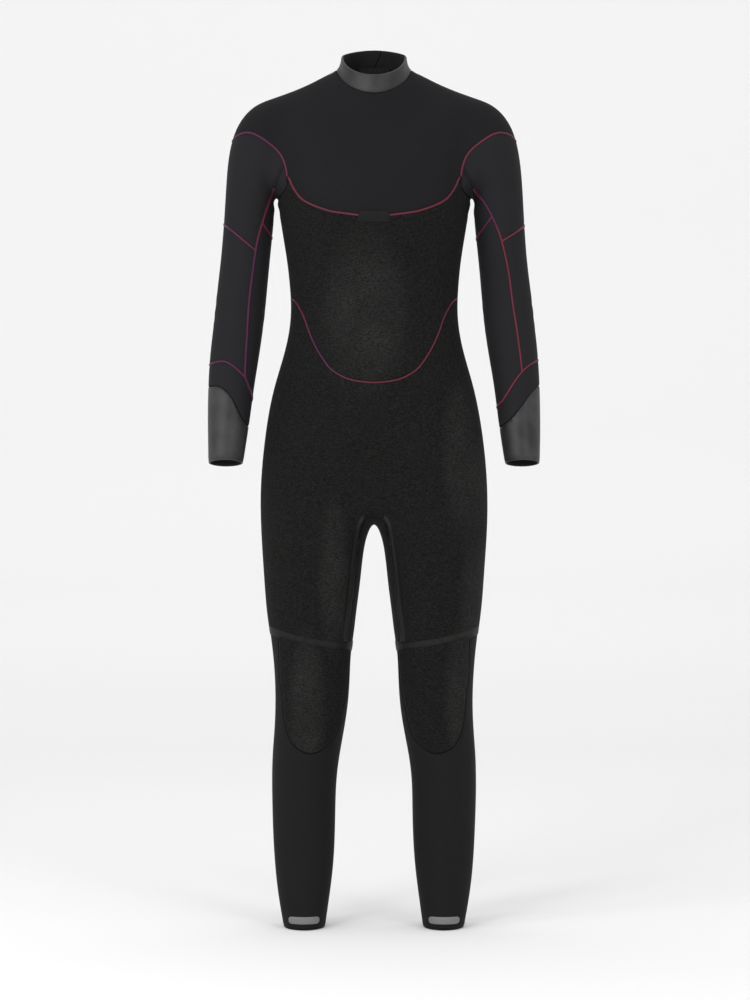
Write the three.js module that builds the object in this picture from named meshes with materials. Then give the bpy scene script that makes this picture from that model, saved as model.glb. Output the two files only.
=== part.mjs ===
// Full-length back-zip wetsuit, held in the shape of a standing wearer.
// Millimetres, +Z up, the chest faces -Y and the wearer's left side is +X.
// The suit is one smooth skin, cut along its seams into separate neoprene panels with tapes over the
// seams. A zip runs straight down the back, and a collar tab closes over its top.
import * as THREE from "three";
import { mergeVertices } from "three/addons/utils/BufferGeometryUtils.js";

// ---------------------------------------------------------------- driving dimensions
const neoprene = 3.5; // wall of a jersey panel
const pile = 1.2; // how far a plush-faced panel stands proud of a jersey one
const gap = 0.7; // clear slit between two panels
const tape = { clear: 0.3, thick: 0.8, width: 4.2 }; // seam tape
const torsoColumns = 24;
const armColumns = 14;
const legColumns = 16;

const zip = {
  top: 1320, // height of the closed slider
  lean: 0.052, // the back runs out by this share of each millimetre downwards
  outAtTop: 66, // depth of the back skin at zipHeight
  length: 438,
  slit: 9, // half width of the slit between the back panels
};
const zipHeight = 1305;
const backLine = (z) => zip.outAtTop + (zipHeight - z) * zip.lean;

// Torso rings from the crotch to the collar's rim. Each has its height at the front, side and back,
// its half width, the depth of its side, front and back, and how far the front and the back swell
// to either side of the middle line.
const collarRow = 19;
const torso = [
  // front, side, back, half, side, front, swell, back, swell
  [656, 656, 656, 178, 4, -80, 13, 66, 26],
  [700, 700, 700, 177, 6, -87, 8, 82, 24],
  [750, 750, 750, 173, 8, -92, 4, 93, 23],
  [800, 800, 800, 166.5, 8, -95, 2, 96, 17],
  [845, 845, 845, 157.5, 8, -94, 0, backLine(845) + 1, 9],
  [885, 885, 885, 145, 7, -91, 0, backLine(885), 5],
  [925, 925, 925, 134, 6, -87, 0, backLine(925), 4],
  [965, 965, 965, 129, 5, -84, 0, backLine(965), 4],
  [1005, 1005, 1005, 131, 5, -86, 0, backLine(1005), 5],
  [1045, 1045, 1045, 135, 5, -94, 1, backLine(1045), 8],
  [1085, 1085, 1085, 142, 6, -104, 4, backLine(1085), 12],
  [1115, 1115, 1115, 147, 6, -110, 7, backLine(1115), 15],
  [1141, 1149, 1141, 152, 7, -112, 9, backLine(1141), 18],
  [1166, 1182, 1172, 158, 8, -106, 8, backLine(1172), 20],
  [1192, 1238, 1204, 163, 8, -96, 5, backLine(1204), 20],
  [1218, 1304, 1240, 161, 8, -84, 2, backLine(1240), 16],
  [1240, 1315.5, 1266, 127, 7, -73, 0, backLine(1266), 11],
  [1260, 1328, 1290, 97, 5, -65, 0, backLine(1290), 6],
  [1281, 1340, 1314, 73, 2, -61, 0, backLine(1314), 6],
  [1302.5, 1348, 1338, 57, 0, -62, 0, backLine(1338), 6],
  [1316, 1358, 1363, 52, -4, -62, 0, 58, 5],
  [1329, 1366, 1386, 51, -7, -63, 0, 50, 4],
];
const armhole = { low: 12, high: 15, first: 4, last: 8 }; // torso rows and columns round the sleeve

// Sleeve rings from the shoulder to the cuff: the armpit-side point and the outer point in the front
// view, then the depth of the front and back, and how far the ring leans back-down, in degrees.
const sleeve = [
  // inner x, z, outer x, z, front, back, lean
  [157, 1142, 192, 1290, -58, 62, 0],
  [157, 1131, 218, 1257, -56, 59, 0],
  [157, 1120, 229, 1212, -52, 55, 0],
  [158, 1108, 233, 1165, -48, 52, 0],
  [160, 1088, 236, 1110, -45, 50, 0],
  [165, 1045, 240.5, 1050, -41, 49, 0],
  [169, 995, 247.5, 995, -37, 48, 2],
  [173, 950, 252, 948, -38, 45, 5],
  [180, 900, 258, 895, -46, 36, 9],
  [188, 850, 259.5, 845, -58, 19, 12],
  [194, 793, 259.5, 791, -68, -2, 11.5],
  [203.5, 728, 257.5, 728, -78, -20, 10],
];

// Leg rings from below the crotch to the ankle: height, inner x, outer x, front and back depth.
const leg = [
  [612, 13, 176, -90, 84],
  [579, 18, 173.5, -90, 82],
  [540, 22, 171, -88, 78],
  [500, 27.5, 168, -84, 70],
  [466, 31, 163, -79, 62],
  [446, 34, 160.5, -76, 57],
  [425, 37, 158, -75, 53],
  [390, 38, 155.5, -73, 50],
  [350, 40.5, 154.5, -70, 49],
  [310, 47, 156, -63, 54],
  [270, 55, 159.5, -54, 62],
  [230, 60, 161, -46, 68],
  [180, 61, 160.5, -40, 67],
  [130, 62, 158.5, -36, 60],
  [85, 65, 155, -34, 54],
  [45, 70.5, 150, -36, 50],
  [0, 77, 142, -38, 50],
];
const crotch = [
  [0, 38, 642],
  [0, 2, 641],
  [0, -36, 642],
]; // from the back to the front

// ---------------------------------------------------------------- the skin: rings of points
const turn = 2 * Math.PI;

function torsoPoint(row, column) {
  const [front, side, back, half, mid, frontDepth, frontSwell, backDepth, backSwell] = torso[row];
  const angle = (turn * column) / torsoColumns;
  const across = Math.sin(angle);
  const ahead = Math.cos(angle); // 1 at the front, -1 at the back
  const swell = Math.sin(2 * angle) ** 2;
  const y =
    ahead > 0
      ? mid + (frontDepth - mid) * ahead - frontSwell * swell
      : mid - (backDepth - mid) * ahead + backSwell * swell;
  const middle = ahead > 0 ? front : back;
  const rise = row < collarRow ? across ** 2 : 1 - Math.abs(ahead); // the collar's rings are flat
  return new THREE.Vector3(half * across, y, middle + (side - middle) * rise);
}

function sleevePoint(ring, index, side) {
  const [innerX, innerZ, outerX, outerZ, front, back, lean] = sleeve[ring];
  const angle = (turn * index) / armColumns; // 0 at the armpit side, a quarter at the back
  const inward = Math.cos(angle) / 2;
  const depth = ((back - front) / 2) * Math.sin(angle);
  const x = (innerX + outerX) / 2 + (innerX - outerX) * inward;
  const z = (innerZ + outerZ) / 2 + (innerZ - outerZ) * inward;
  const drop = depth * Math.tan(THREE.MathUtils.degToRad(lean));
  return new THREE.Vector3(side * x, (front + back) / 2 + depth, z - drop);
}

function legPoint(ring, index, side) {
  const [z, inner, outer, front, back] = leg[ring];
  const angle = turn * (1 / 4 + (index - torsoColumns / 4) / legColumns);
  const x = (inner + outer) / 2 + ((outer - inner) / 2) * Math.sin(angle);
  return new THREE.Vector3(side * x, (front + back) / 2 - ((back - front) / 2) * Math.cos(angle), z);
}

// Every corner of the skin once, with the four-cornered faces between them.
function buildSkin() {
  const points = [];
  const rowOf = [];
  const faces = [];
  const add = (point, row) => {
    rowOf.push(row);
    return points.push(point) - 1;
  };
  const face = (a, b, c, d, winding = 1) =>
    faces.push(winding > 0 ? [a, b, c, d] : [d, c, b, a]);
  const inHole = (row, column) =>
    row > armhole.low &&
    row < armhole.high &&
    [column, torsoColumns - column].some((c) => c > armhole.first && c < armhole.last);
  const grid = torso.map((_, row) =>
    Array.from({ length: torsoColumns }, (_, column) =>
      inHole(row, column) ? null : add(torsoPoint(row, column), row),
    ),
  );
  const at = (row, column) => grid[row][(column + torsoColumns) % torsoColumns];
  for (let row = 0; row + 1 < torso.length; row++)
    for (let column = 0; column < torsoColumns; column++) {
      const mirrored = Math.min(column, torsoColumns - 1 - column);
      const open =
        row >= armhole.low && row < armhole.high && mirrored >= armhole.first && mirrored < armhole.last;
      if (!open)
        face(at(row, column), at(row, column + 1), at(row + 1, column + 1), at(row + 1, column));
    }
  const tube = (first, rings, count, pointAt, side, winding) => {
    let above = first;
    for (let ring = 0; ring < rings; ring++) {
      const below = above.map((_, i) => add(pointAt(ring, i, side), 0));
      for (let i = 0; i < count; i++) {
        const next = (i + 1) % count;
        face(below[i], below[next], above[next], above[i], winding);
      }
      above = below;
    }
  };
  const { low, high, first, last } = armhole;
  const middle = (first + last) / 2;
  for (const side of [1, -1]) {
    const hole = [];
    for (let c = middle; c <= last; c++) hole.push(at(low, side * c));
    for (let r = low + 1; r < high; r++) hole.push(at(r, side * last));
    for (let c = last; c >= first; c--) hole.push(at(high, side * c));
    for (let r = high - 1; r > low; r--) hole.push(at(r, side * first));
    for (let c = first; c < middle; c++) hole.push(at(low, side * c));
    tube(hole, sleeve.length, armColumns, sleevePoint, side, -side);
  }
  const saddle = crotch.map((p) => add(new THREE.Vector3(...p), 0));
  for (const side of [1, -1]) {
    const top = [];
    for (let c = 0; c <= torsoColumns / 2; c++) top.push(at(0, side * c));
    tube([...top, ...saddle], leg.length, legColumns, legPoint, side, side);
  }
  return { points, rowOf, faces };
}

const skin = buildSkin();

// Corner normals, so that every layer of the suit is the skin moved straight in or out.
skin.normals = skin.points.map(() => new THREE.Vector3());
for (const [a, b, c, d] of skin.faces) {
  const across = new THREE.Vector3().subVectors(skin.points[c], skin.points[a]);
  const up = new THREE.Vector3().subVectors(skin.points[d], skin.points[b]);
  const normal = across.cross(up).normalize();
  for (const corner of [a, b, c, d]) skin.normals[corner].add(normal);
}
skin.normals.forEach((n) => n.normalize());

// Each normal is evened out with its neighbours', so that the wall doesn't fold over in the armpits.
const evened = skin.normals.map((n) => n.clone());
for (const corners of skin.faces)
  corners.forEach((corner, i) => evened[corner].addScaledVector(skin.normals[corners[(i + 1) % 4]], 0.5));
skin.normals = evened.map((n) => n.normalize());

// ---------------------------------------------------------------- seams
// A seam is a smooth line in the front view, with |x| across. Its field is the distance from the
// line, positive on the side where the given point lies.
function seam(points, inside) {
  const given = points.map(([x, z]) => new THREE.Vector2(x, z));
  const line = new THREE.SplineCurve(given).getPoints(4 * points.length);
  const start = line[0].clone().sub(line[1]).setLength(400).add(line[0]);
  const last = line.length - 1;
  const end = line[last].clone().sub(line[last - 1]).setLength(400).add(line[last]);
  const all = [start, ...line, end];
  const field = (x, z) => {
    let best = Infinity;
    let signed = 0; // where two stretches are equally near, the one seen less edge-on decides the side
    for (let i = 0; i + 1 < all.length; i++) {
      const a = all[i];
      const dx = all[i + 1].x - a.x;
      const dz = all[i + 1].y - a.y;
      const t = THREE.MathUtils.clamp(((x - a.x) * dx + (z - a.y) * dz) / (dx * dx + dz * dz), 0, 1);
      const away = Math.hypot(x - a.x - t * dx, z - a.y - t * dz);
      const square = (dx * (z - a.y) - dz * (x - a.x)) / Math.hypot(dx, dz);
      if (away < best - 1e-6 || (away < best + 1e-6 && Math.abs(square) > Math.abs(signed))) {
        best = Math.min(best, away);
        signed = square;
      }
    }
    return Math.sign(signed) * best;
  };
  const sign = Math.sign(field(...inside));
  return (p) => sign * field(Math.abs(p.x), p.z);
}
const not = (field) => (p) => -field(p);
const band = (field, half) => [(p) => half + field(p), (p) => half - field(p)];

const isSleeve = seam(
  [
    [245, 1228], [222, 1235], [212, 1240], [199, 1242], [186, 1239], [168, 1228],
    [152, 1215], [143, 1203], [138, 1190], [135, 1174], [135, 1156], [143, 1146],
    [151, 1139], [151, 1112], [150, 1000], [160, 900], [180, 800], [192, 700],
  ],
  [240, 1000],
);
const aboveChest = seam(
  [
    [0, 1105.5], [25, 1107.5], [62, 1113], [77, 1117.5], [92, 1123.5], [108, 1132.5],
    [118, 1143], [127, 1158], [134, 1171], [160, 1179],
  ],
  [0, 1200],
);
const aboveBelly = seam(
  [
    [0, 851], [19, 852.5], [37, 856], [53, 863], [69, 875], [86, 900], [98, 925],
    [108, 953], [117, 972], [127, 985], [150, 992],
  ],
  [0, 1000],
);
const aboveLumbar = seam(
  [
    [0, 868],
    [40, 872],
    [90, 890],
    [150, 925],
  ],
  [0, 1000],
);
const aboveSeatFold = seam(
  [
    [0, 612],
    [50, 596],
    [100, 598],
    [180, 622],
  ],
  [0, 800],
);
const aboveKnee = seam(
  [
    [20, 440], [45, 443.5], [70, 447.5], [100, 453], [130, 460], [165, 469],
  ],
  [100, 600],
);
const inGusset = seam(
  [
    [0, 644], [10, 642], [18, 632], [23.5, 606], [28, 575], [34, 515], [40, 466],
    [42, 430],
  ],
  [0, 500],
);
const kneepadOutline = seam(
  [
    [148, 478], [147, 399], [143, 371], [141, 341], [137, 317], [131, 299], [121, 286],
    [102, 277], [85, 280], [69, 292], [58, 309], [50, 343], [44, 371], [40, 399],
    [36, 478],
  ],
  [100, 350],
);
const inKneepad = (p) => Math.min(kneepadOutline(p), -10 - p.y);
const besideZip = (p) => Math.abs(p.x) - zip.slit;

// The two sleeves are turned a little differently on the arms, so each has its own lines.
const sleeveSeams = {
  left: {
    isOuter: seam(
      [
        [150, 1165],
        [157, 1153],
        [170, 1136],
        [183, 1113],
        [194, 1088],
        [200, 1069],
        [209, 1029],
        [216, 978],
        [223, 931],
        [229, 880],
        [230, 865],
      ],
      [250, 1000],
    ),
    aboveElbow: seam(
      [
        [236, 1101], [220, 1087], [200, 1074],
      ],
      [250, 1200],
    ),
    aboveInnerElbow: seam(
      [
        [183, 1111], [168, 1091], [160, 1080],
      ],
      [150, 1160],
    ),
    aboveWrist: seam(
      [
        [254, 888], [244, 882], [231, 871], [218, 854], [201, 827], [192, 816],
      ],
      [220, 1000],
    ),
    aboveCuff: seam(
      [
        [256, 847], [243, 834], [229, 816], [217, 802], [207, 792], [194, 782],
      ],
      [220, 1000],
    ),
  },
  right: {
    isOuter: seam(
      [
        [152, 1165],
        [161, 1143],
        [173, 1106],
        [182, 1073],
        [188, 1035],
        [195, 978],
        [198, 925],
        [200, 886],
        [201, 855],
      ],
      [250, 1000],
    ),
    aboveElbow: seam(
      [
        [230, 1098], [206, 1077], [184, 1059],
      ],
      [250, 1200],
    ),
    aboveInnerElbow: seam(
      [
        [174, 1103], [166, 1090], [158, 1079],
      ],
      [150, 1160],
    ),
    aboveWrist: seam(
      [
        [255, 883], [240, 886], [230, 885], [218, 878], [207, 868], [200, 860], [196, 849],
        [189, 826], [184, 811],
      ],
      [220, 1000],
    ),
    aboveCuff: seam(
      [
        [256, 847], [244, 847], [232, 841], [221, 829], [212, 813], [205, 798], [199, 789],
        [190, 780],
      ],
      [220, 1000],
    ),
  },
};

// The side seam lies just behind the widest line of the body, out of sight from the front.
const sideDepth = [
  [0, 14],
  [250, 20],
  [450, 4],
  [650, 16],
  [965, 24],
  [1140, 30],
  [1300, 30],
  [1325, 8],
  [1345, 0],
  [1400, 0],
];
const isFront = (p) => {
  const next = Math.max(
    1,
    sideDepth.findIndex(([z]) => z > p.z),
  );
  const [z0, y0] = sideDepth[next - 1];
  const [z1, y1] = sideDepth[next];
  return y0 + ((y1 - y0) * (p.z - z0)) / (z1 - z0) - p.y;
};
const isBack = not(isFront);
const isLeft = (p) => p.x;
const isRight = (p) => -p.x;
const onSide = { left: isLeft, right: isRight };
const rowPitch = 14; // millimetres of collar between two of its rings
const isCollar = (p) => (p.row - collarRow) * rowPitch;
const belowCollar = not(isCollar);
const collarSide = (p) => p.y - 2;
const collarSplit = (p) => p.x - 0.5 * (p.z - 1358); // the closing edge leans across the nape

// ---------------------------------------------------------------- panels cut from the skin
const edgeRoom = 0.05; // a corner nearer than this to a cut is taken as cut off
const corners = skin.points.map((p, i) => ({
  x: p.x,
  y: p.y,
  z: p.z,
  row: skin.rowOf[i],
  normal: skin.normals[i],
}));

function between(a, b, share) {
  const mix = (u, v) => u + (v - u) * share;
  return {
    x: mix(a.x, b.x),
    y: mix(a.y, b.y),
    z: mix(a.z, b.z),
    normal: a.normal.clone().lerp(b.normal, share).normalize(),
    values: a.values.map((value, i) => mix(value, b.values[i])),
  };
}

// The part of a polygon where its field of that number is over half a gap.
function clip(polygon, number) {
  const values = polygon.map((p) => {
    const value = p.values[number] - gap / 2;
    return Math.abs(value) < edgeRoom ? -edgeRoom : value;
  });
  const kept = [];
  polygon.forEach((a, i) => {
    const j = (i + 1) % polygon.length;
    if (values[i] > 0) kept.push(a);
    if (values[i] > 0 !== values[j] > 0) kept.push(between(a, polygon[j], values[i] / (values[i] - values[j])));
  });
  return kept.length > 2 ? kept : [];
}

// A closed sheet over the part of the skin where all the fields are positive, from `low` to `high`
// above the skin along its normals. Either height can depend on the place. A field runs straight
// between the corners of the skin, so that neighbours meet along the same line.
function sheet(fields, low, high) {
  const height = (value, p) => (typeof value === "function" ? value(p) : value);
  const keyOf = (p) => [p.x, p.y, p.z].map((v) => v.toFixed(3)).join();
  const edges = new Map();
  const position = [];
  const push = (p, value) => {
    const h = height(value, p);
    position.push(p.x + p.normal.x * h, p.y + p.normal.y * h, p.z + p.normal.z * h);
  };
  for (const [a, b, c, d] of skin.faces)
    for (const triangle of [
      [a, b, c],
      [a, c, d],
    ]) {
      let polygon = triangle.map((i) => ({ ...corners[i], values: fields.map((f) => f(corners[i])) }));
      fields.forEach((_, number) => (polygon = polygon.length ? clip(polygon, number) : polygon));
      for (let i = 1; i + 1 < polygon.length; i++) {
        const fan = [polygon[0], polygon[i], polygon[i + 1]];
        fan.forEach((p) => push(p, high));
        [...fan].reverse().forEach((p) => push(p, low));
      }
      polygon.forEach((p, i) => {
        const q = polygon[(i + 1) % polygon.length];
        const [from, to] = [keyOf(p), keyOf(q)];
        if (from === to) return;
        if (!edges.delete(to + "|" + from)) edges.set(from + "|" + to, [p, q]);
      });
    }
  for (const [p, q] of edges.values()) {
    push(p, high);
    push(p, low);
    push(q, high);
    push(q, high);
    push(p, low);
    push(q, low);
  }
  const geometry = new THREE.BufferGeometry();
  geometry.setAttribute("position", new THREE.Float32BufferAttribute(position, 3));
  const closed = mergeVertices(geometry, 1e-3);
  closed.computeVertexNormals();
  return closed;
}

// ---------------------------------------------------------------- materials
const material = (color, roughness, metalness = 0) =>
  new THREE.MeshStandardMaterial({ color, roughness, metalness });
const jersey = material(0x222224, 0.75);
const plush = material(0x232524, 0.95);
const smoothskin = material(0x4a4a4b, 0.45);
const burgundy = material(0x6e3346, 0.6);
const blackTape = material(0x2b2c2c, 0.55);
const rubber = material(0x8a8a89, 0.5);
const nylon = material(0x1b1b1c, 0.5);
const webbing = material(0x18181a, 0.9);
const metal = material(0x55565a, 0.35, 0.9);

const suit = new THREE.Group();
const addMesh = (name, geometry, finish, parent = suit) => {
  const mesh = new THREE.Mesh(geometry, finish);
  mesh.name = name;
  parent.add(mesh);
  return mesh;
};
const panel = (name, finish, fields, low = -neoprene, high = 0) =>
  addMesh(name, sheet(fields, low, high), finish);

// ---------------------------------------------------------------- body panels
const isBody = not(isSleeve);
const notGusset = not(inGusset);

function bodyPanels() {
  panel("yoke", jersey, [isBody, belowCollar, isFront, aboveChest]);
  panel("chest_panel", plush, [isBody, isFront, not(aboveChest), aboveBelly], -neoprene, pile);
  panel(
    "front_legs_panel",
    plush,
    [isBody, isFront, not(aboveBelly), notGusset, aboveKnee],
    -neoprene,
    pile,
  );
  panel("gusset", jersey, [isBody, inGusset, aboveKnee]);
  panel("seat_panel", jersey, [isBody, isBack, not(aboveLumbar), notGusset, aboveSeatFold]);
  for (const [side, own] of Object.entries(onSide)) {
    panel(`${side}_back_panel`, jersey, [isBody, own, isBack, belowCollar, aboveLumbar, besideZip]);
    panel(`${side}_back_thigh`, jersey, [
      isBody,
      own,
      isBack,
      not(aboveSeatFold),
      notGusset,
      aboveKnee,
    ]);
    panel(`${side}_shin_panel`, jersey, [
      isBody,
      own,
      isFront,
      not(aboveKnee),
      not(inKneepad),
    ]);
    panel(`${side}_calf_panel`, jersey, [isBody, own, isBack, not(aboveKnee)]);
    panel(
      `${side}_kneepad`,
      plush,
      [isBody, own, isFront, not(aboveKnee), inKneepad],
      -neoprene,
      pile,
    );
    panel(
      `${side}_knee_band`,
      blackTape,
      [isBody, own, ...band(aboveKnee, 7.5)],
      pile + tape.clear,
      pile + tape.clear + tape.thick,
    );
  }
}

function sleevePanels() {
  for (const [side, own] of Object.entries(onSide)) {
    const s = sleeveSeams[side];
    const base = [isSleeve, own];
    const upper = [...base, s.aboveWrist];
    // The slit widens towards the armpit, where the wall is folded tightly.
    const outerAbove = (p) => s.isOuter(p) - Math.max(0, 0.06 * (p.z - 1125));
    panel(`${side}_upper_sleeve`, jersey, [...upper, outerAbove, s.aboveElbow]);
    panel(`${side}_underarm`, jersey, [...upper, not(s.isOuter), s.aboveInnerElbow]);
    panel(`${side}_outer_forearm`, jersey, [...upper, s.isOuter, not(s.aboveElbow)]);
    panel(`${side}_inner_forearm`, jersey, [...upper, not(s.isOuter), not(s.aboveInnerElbow)]);
    panel(`${side}_wrist_panel`, jersey, [...base, not(s.aboveWrist), s.aboveCuff]);
    panel(`${side}_cuff`, smoothskin, [...base, not(s.aboveCuff)]);
  }
}

// ---------------------------------------------------------------- collar and its tab
const tabRoot = -14;
const tabEnd = 42;
const tabLayers = { loop: 0.3, patch: 1, lift: 2.9, thick: 2.4 };

function collar() {
  panel("collar_front", smoothskin, [isCollar, not(collarSide)]);
  panel("left_collar_back", jersey, [isCollar, collarSide, (p) => collarSplit(p) - 0.8]);
  panel("right_collar_back", jersey, [isCollar, collarSide, (p) => -collarSplit(p) - 0.8]);
  const inTab = [
    collarSide,
    (p) => (p.row - collarRow - 0.25) * rowPitch,
    (p) => (collarRow + 1.45 - p.row) * rowPitch,
  ];
  const low = (p) => {
    const share = THREE.MathUtils.smoothstep(p.x, tabRoot + 2, tabRoot + 14);
    return tape.clear + (tabLayers.lift - tape.clear) * share;
  };
  const patch = [...inTab, (p) => p.x - 14, (p) => tabEnd - 3 - p.x];
  panel("loop_patch", webbing, patch, tabLayers.loop, tabLayers.loop + tabLayers.patch);
  panel(
    "hook_patch",
    webbing,
    patch,
    tabLayers.lift - tape.clear - tabLayers.patch,
    tabLayers.lift - tape.clear,
  );
  panel(
    "collar_tab",
    smoothskin,
    [...inTab, (p) => p.x - tabRoot, (p) => tabEnd - p.x],
    low,
    (p) => low(p) + tabLayers.thick,
  );
}

// ---------------------------------------------------------------- seam tapes and trims
function tapes() {
  const over = [tape.clear, tape.clear + tape.thick];
  const overPile = over.map((v) => v + pile);
  const half = tape.width / 2;
  const front = [isBody, isFront];
  const label = 24; // half width of the label in the middle of the chest seam
  for (const [side, own] of Object.entries(onSide)) {
    const s = sleeveSeams[side];
    panel(
      `${side}_chest_seam`,
      burgundy,
      [...front, ...band(aboveChest, half), (p) => own(p) - label, (p) => -isSleeve(p) - half - 1],
      ...overPile,
    );
    panel(
      `${side}_shoulder_seam`,
      burgundy,
      [own, ...band(isSleeve, half), (p) => p.z - 1172],
      ...over,
    );
    panel(
      `${side}_sleeve_seam`,
      burgundy,
      [
        own,
        (p) => isSleeve(p) - half - 1,
        (p) => -p.y - 10,
        ...band(s.isOuter, half),
        (p) => s.aboveWrist(p) - half - 1,
        (p) => 1150 - p.z,
      ],
      ...over,
    );
    panel(
      `${side}_elbow_seam`,
      burgundy,
      [own, isSleeve, ...band(s.aboveElbow, half), (p) => s.isOuter(p) - half - 1],
      ...over,
    );
    panel(`${side}_wrist_seam`, burgundy, [own, isSleeve, ...band(s.aboveWrist, half)], ...over);
    // A flat tape runs down the thigh along the outside of the gusset.
    panel(
      `${side}_thigh_seam`,
      blackTape,
      [
        ...front,
        (p) => own(p) - 16,
        ...band((p) => inGusset(p) + 5.5, 5),
        (p) => aboveKnee(p) - 8.5,
      ],
      ...overPile,
    );
    panel(
      `${side}_ankle_tab`,
      rubber,
      [own, isFront, (p) => Math.abs(p.x) - 86, (p) => 133 - Math.abs(p.x), (p) => p.z - 9, (p) => 20 - p.z],
      ...over,
    );
  }
  panel("belly_seam", burgundy, [...front, ...band(aboveBelly, 1.8)], ...overPile);
  panel(
    "chest_label",
    blackTape,
    [...front, (p) => label - 1 - Math.abs(p.x), (p) => p.z - 1097, (p) => 1114 - p.z],
    ...overPile,
  );
}

// ---------------------------------------------------------------- zip, in its own straight frame
// x is across, y is out of the back, z is up along the zip, and z = 0 is the top of the chain.
const zipFrame = new THREE.Group();
zipFrame.position.set(0, backLine(zip.top), zip.top);
zipFrame.rotation.x = Math.atan(zip.lean);
suit.add(zipFrame);

const chain = { inner: 0.6, outer: 4.6, low: -7.2, high: -3.8 };
const zipTape = { inner: 4.9, outer: 21, low: -5.9, high: -5.1, above: 3, below: 8 };
const slider = { half: 6.8, plate: 1.3, clear: 0.4, web: 0.3, length: 16 };

function block(name, finish, [x0, x1], [y0, y1], [z0, z1], parent = zipFrame) {
  const geometry = new THREE.BoxGeometry(x1 - x0, y1 - y0, z1 - z0);
  geometry.translate((x0 + x1) / 2, (y0 + y1) / 2, (z0 + z1) / 2);
  return addMesh(name, geometry, finish, parent);
}

function zipChain() {
  for (const [side, sign] of [
    ["left", 1],
    ["right", -1],
  ]) {
    const span = (a, b) => [sign * a, sign * b].sort((u, v) => u - v);
    block(
      `${side}_zip_teeth`,
      nylon,
      span(chain.inner, chain.outer),
      [chain.low, chain.high],
      [-zip.length, 0],
    );
    block(
      `${side}_zip_tape`,
      webbing,
      span(zipTape.inner, zipTape.outer),
      [zipTape.low, zipTape.high],
      [-zip.length - zipTape.below, zipTape.above],
    );
  }
  block("zip_bottom_stop", metal, [-4.6, 4.6], [-7.6, -3.4], [-zip.length - 5.3, -zip.length - 0.3]);
  block("zip_underflap", smoothskin, [-24, 24], [-14.6, -12.6], [-zip.length, 38]);
}

// The slider's section: two plates on a web that runs between the rows of teeth, with lips that
// close round the teeth and leave a slot for the tape.
function sliderSection() {
  const top = chain.high + slider.clear;
  const bottom = chain.low - slider.clear;
  const lip = slider.half - 1.6;
  const slotHigh = zipTape.high + slider.clear;
  const slotLow = zipTape.low - slider.clear;
  const half = [
    [slider.web, bottom],
    [lip, bottom],
    [lip, slotLow],
    [slider.half, slotLow],
    [slider.half, bottom - slider.plate],
  ];
  const upper = [
    [slider.half, top + slider.plate],
    [slider.half, slotHigh],
    [lip, slotHigh],
    [lip, top],
    [slider.web, top],
  ];
  const right = [...upper, ...half];
  const left = right.map(([x, y]) => [-x, y]).reverse();
  return new THREE.Shape([...right, ...left].map(([x, y]) => new THREE.Vector2(x, y)));
}

const bridge = { half: 1.2, low: -13.4, high: -2.6, wall: 1.8, top: 3.4, foot: 0 };
bridge.foot = chain.high + slider.clear + slider.plate;
const pivot = { y: 0.5, z: -10.2, radius: 0.75 }; // the bar of the pull, inside the bridge

function zipSlider() {
  const body = new THREE.ExtrudeGeometry(sliderSection(), {
    depth: slider.length,
    bevelEnabled: false,
  });
  body.translate(0, 0, -slider.length);
  addMesh("zip_slider", body, metal, zipFrame);
  const arch = new THREE.Shape();
  arch.moveTo(bridge.low, bridge.foot + 0.3);
  arch.lineTo(bridge.low, bridge.top - 1);
  arch.lineTo(bridge.low + 1, bridge.top);
  arch.lineTo(bridge.high - 1, bridge.top);
  arch.lineTo(bridge.high, bridge.top - 1);
  arch.lineTo(bridge.high, bridge.foot + 0.3);
  arch.lineTo(bridge.high - bridge.wall, bridge.foot + 0.3);
  arch.lineTo(bridge.high - bridge.wall, bridge.top - 1.2);
  arch.lineTo(bridge.low + bridge.wall, bridge.top - 1.2);
  arch.lineTo(bridge.low + bridge.wall, bridge.foot + 0.3);
  const geometry = new THREE.ExtrudeGeometry(arch, { depth: 2 * bridge.half, bevelEnabled: false });
  // The outline was drawn along and out of the zip, so it is turned to stand across x.
  const turned = new THREE.Matrix4().makeBasis(
    new THREE.Vector3(0, 0, 1),
    new THREE.Vector3(0, 1, 0),
    new THREE.Vector3(-1, 0, 0),
  );
  geometry.applyMatrix4(turned);
  geometry.translate(bridge.half, 0, 0);
  addMesh("slider_bridge", geometry, metal, zipFrame);
}

// The pull is a flat plate with a window at its top, whose upper bar runs through the bridge, and a
// round hole at its bottom for a leash.
function zipPull() {
  const plate = { half: 5, length: 34 };
  const outline = new THREE.Shape(
    [
      [-2, -plate.length],
      [2, -plate.length],
      [plate.half, -plate.length + 3],
      [plate.half, -9],
      [3.6, pivot.radius],
      [-3.6, pivot.radius],
      [-plate.half, -9],
      [-plate.half, -plate.length + 3],
    ].map(([x, y]) => new THREE.Vector2(x, y)),
  );
  const window = [
    [-1.7, -pivot.radius],
    [1.7, -pivot.radius],
    [1.7, -8],
    [-1.7, -8],
  ].map(([x, y]) => new THREE.Vector2(x, y));
  const round = Array.from({ length: 12 }, (_, i) => {
    const angle = (-turn * i) / 12;
    return new THREE.Vector2(2 * Math.cos(angle), 5.5 - plate.length + 2 * Math.sin(angle));
  });
  outline.holes.push(new THREE.Path(window), new THREE.Path(round));
  const geometry = new THREE.ExtrudeGeometry(outline, {
    depth: 2 * pivot.radius,
    bevelEnabled: false,
  });
  geometry.translate(0, 0, -pivot.radius);
  geometry.rotateX(Math.PI / 2);
  const mesh = addMesh("zip_pull", geometry, metal, zipFrame);
  mesh.position.set(0, pivot.y, pivot.z);
}

bodyPanels();
sleevePanels();
collar();
tapes();
zipChain();
zipSlider();
zipPull();

// The depth of the suit is centred on the upright through the origin.
suit.position.y = 7.5;
const part = new THREE.Group();
part.add(suit);

export default part;
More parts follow.
